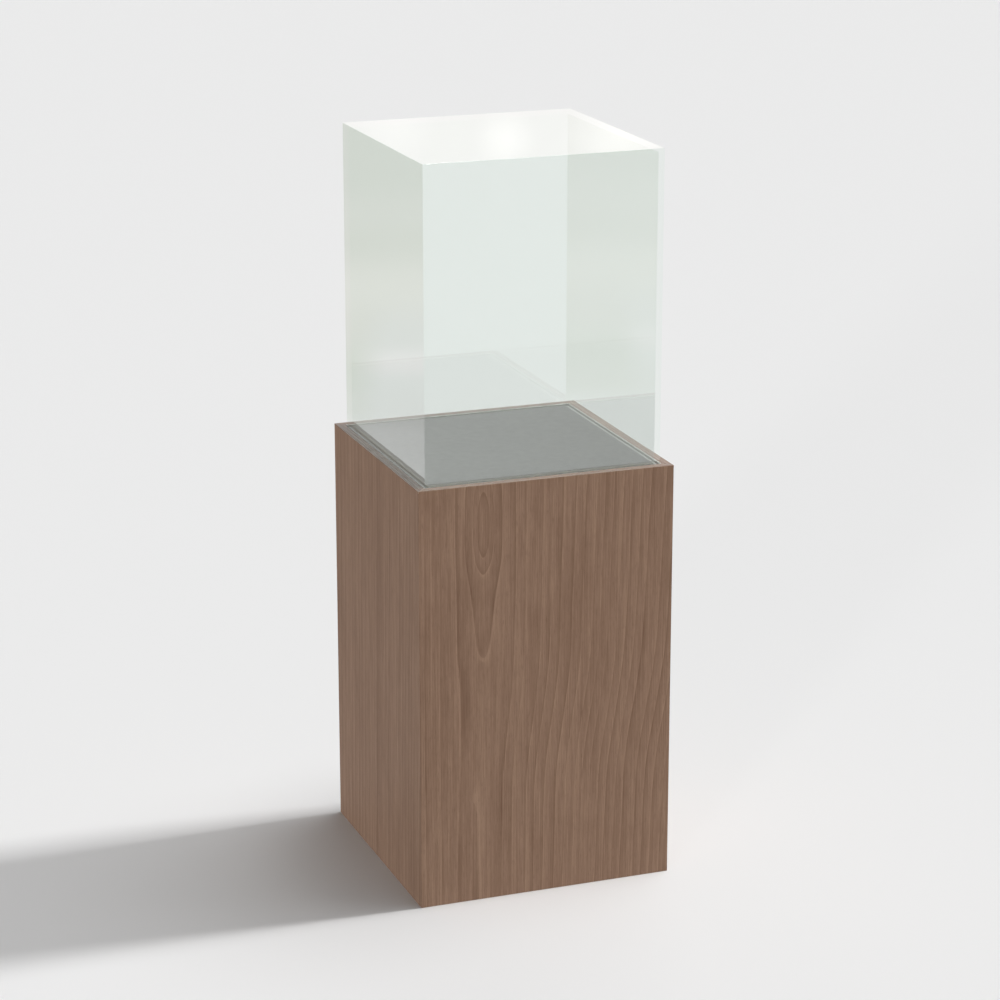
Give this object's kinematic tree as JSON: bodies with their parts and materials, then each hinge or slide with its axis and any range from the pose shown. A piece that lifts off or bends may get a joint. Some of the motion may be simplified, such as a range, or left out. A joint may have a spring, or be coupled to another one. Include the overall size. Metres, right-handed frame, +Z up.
{
  "type": "glass display cabinet",
  "caption": "Free-standing square display cabinet: a walnut plinth with a grey display surface under a lift-off glass hood.",
  "frame": {"origin": "middle of the square footprint, at floor level", "axes": "+Z up; the front faces -Y and +X is to its right. All four sides are alike"},
  "size_m": [0.4, 0.4, 1.122],
  "materials": {
    "walnut_veneer": "satin lacquered walnut veneer, straight vertical grain with a crown figure",
    "walnut_lipping": "satin lacquered solid walnut, grain along its length",
    "softwood": "planed, unfinished",
    "plywood": "sanded, unfinished",
    "grey_panel": "matte neutral grey laminate",
    "seat_foam": "closed-cell foam strip, grey",
    "clear_glass": "clear laminated glass with a faint green tint, polished edges",
    "zinc_steel": "bright zinc plated",
    "nylon": "moulded, matte black"
  },
  "bodies": {
    "plinth": {"front_panel": "walnut_veneer", "right_panel": "walnut_veneer", "back_panel": "walnut_veneer", "left_panel": "walnut_veneer", "top_lipping_front": "walnut_lipping", "top_lipping_right": "walnut_lipping", "top_lipping_back": "walnut_lipping", "top_lipping_left": "walnut_lipping", "corner_post_front_left": "softwood", "corner_post_front_right": "softwood", "corner_post_back_right": "softwood", "corner_post_back_left": "softwood", "deck_batten_front": "softwood", "deck_batten_right": "softwood", "deck_batten_back": "softwood", "deck_batten_left": "softwood", "base_batten_front": "softwood", "base_batten_right": "softwood", "base_batten_back": "softwood", "base_batten_left": "softwood", "base_board": "plywood", "deck_board": "plywood", "display_panel": "grey_panel", "deck_screw_front_1": "zinc_steel", "deck_screw_front_2": "zinc_steel", "deck_screw_right_1": "zinc_steel", "deck_screw_right_2": "zinc_steel", "deck_screw_back_1": "zinc_steel", "deck_screw_back_2": "zinc_steel", "deck_screw_left_1": "zinc_steel", "deck_screw_left_2": "zinc_steel", "seat_strip_front": "seat_foam", "seat_strip_right": "seat_foam", "seat_strip_back": "seat_foam", "seat_strip_left": "seat_foam", "foot_nut_front_left": "zinc_steel", "foot_nut_front_right": "zinc_steel", "foot_nut_back_right": "zinc_steel", "foot_nut_back_left": "zinc_steel"},
    "hood": {"pane_front": "clear_glass", "pane_right": "clear_glass", "pane_back": "clear_glass", "pane_left": "clear_glass", "pane_top": "clear_glass"},
    "foot_front_left": {"foot_pad_front_left": "nylon", "foot_stud_front_left": "zinc_steel"},
    "foot_front_right": {"foot_pad_front_right": "nylon", "foot_stud_front_right": "zinc_steel"},
    "foot_back_right": {"foot_pad_back_right": "nylon", "foot_stud_back_right": "zinc_steel"},
    "foot_back_left": {"foot_pad_back_left": "nylon", "foot_stud_back_left": "zinc_steel"}
  },
  "joints": [
    {"name": "hood_lift", "type": "slide", "parent": "plinth", "child": "hood", "axis": [0, 0, 1], "range_m": [0, 0.48]},
    {"name": "level_front_left", "type": "slide", "parent": "plinth", "child": "foot_front_left", "axis": [0, 0, -1], "range_m": [0, 0.01]},
    {"name": "level_front_right", "type": "slide", "parent": "plinth", "child": "foot_front_right", "axis": [0, 0, -1], "range_m": [0, 0.01]},
    {"name": "level_back_right", "type": "slide", "parent": "plinth", "child": "foot_back_right", "axis": [0, 0, -1], "range_m": [0, 0.01]},
    {"name": "level_back_left", "type": "slide", "parent": "plinth", "child": "foot_back_left", "axis": [0, 0, -1], "range_m": [0, 0.01]}
  ]
}
